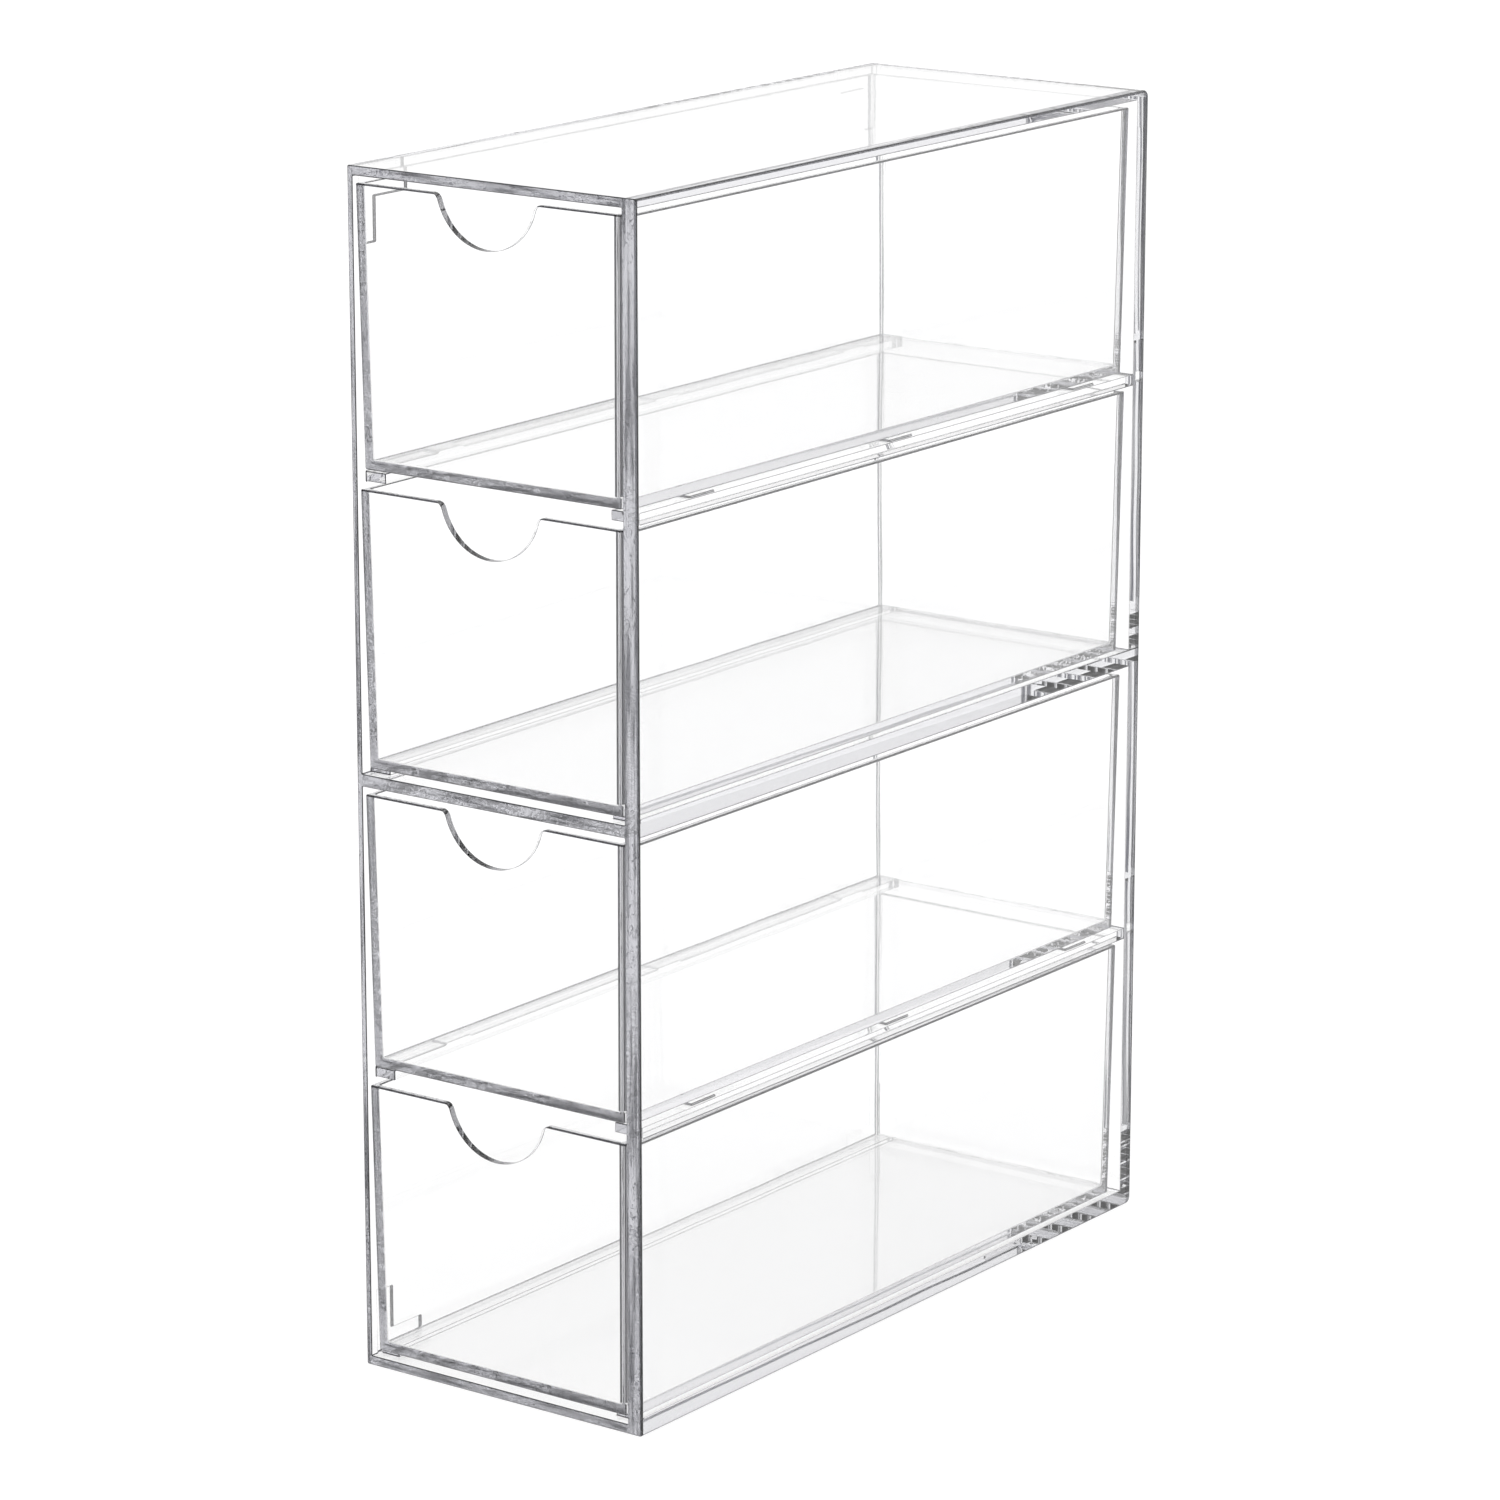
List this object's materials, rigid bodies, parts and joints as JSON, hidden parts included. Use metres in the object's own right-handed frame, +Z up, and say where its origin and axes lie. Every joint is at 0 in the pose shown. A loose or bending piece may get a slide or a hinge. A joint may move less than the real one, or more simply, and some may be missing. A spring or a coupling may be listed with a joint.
{
  "type": "glasses organizer",
  "caption": "Tall clear plastic cabinet for eyeglasses and sunglasses, with a column of pull-out trays that have rounded finger notches in their fronts.",
  "frame": {"origin": "middle of the underside that the cabinet stands on", "axes": "+Z up, -Y out of the drawer fronts, +X towards the thick side wall"},
  "size_m": [0.0716, 0.18, 0.2495],
  "materials": {
    "clear_case": "polished colourless transparent plastic, light cool grey on its edges",
    "clear_drawer": "polished colourless transparent plastic, light cool grey on its edges"
  },
  "bodies": {
    "case": {"right_side_panel": "clear_case", "left_side_panel": "clear_case", "top_panel": "clear_case", "base_panel": "clear_case", "back_panel": "clear_case", "middle_shelf": "clear_case", "base_rib_left": "clear_case", "base_rib_right": "clear_case", "lower_runner_left": "clear_case", "lower_runner_right": "clear_case", "shelf_rib_left": "clear_case", "shelf_rib_right": "clear_case", "upper_runner_left": "clear_case", "upper_runner_right": "clear_case", "lower_runner_pads_left": "clear_case", "lower_runner_pads_right": "clear_case", "upper_runner_pads_left": "clear_case", "upper_runner_pads_right": "clear_case"},
    "drawer_1": {"drawer_1": "clear_drawer"},
    "drawer_2": {"drawer_2": "clear_drawer"},
    "drawer_3": {"drawer_3": "clear_drawer"},
    "drawer_4": {"drawer_4": "clear_drawer"}
  },
  "joints": [
    {"name": "drawer_1_slide", "type": "slide", "parent": "case", "child": "drawer_1", "axis": [0, -1, 0], "range_m": [0, 0.15]},
    {"name": "drawer_2_slide", "type": "slide", "parent": "case", "child": "drawer_2", "axis": [0, -1, 0], "range_m": [0, 0.15]},
    {"name": "drawer_3_slide", "type": "slide", "parent": "case", "child": "drawer_3", "axis": [0, -1, 0], "range_m": [0, 0.15]},
    {"name": "drawer_4_slide", "type": "slide", "parent": "case", "child": "drawer_4", "axis": [0, -1, 0], "range_m": [0, 0.15]}
  ]
}
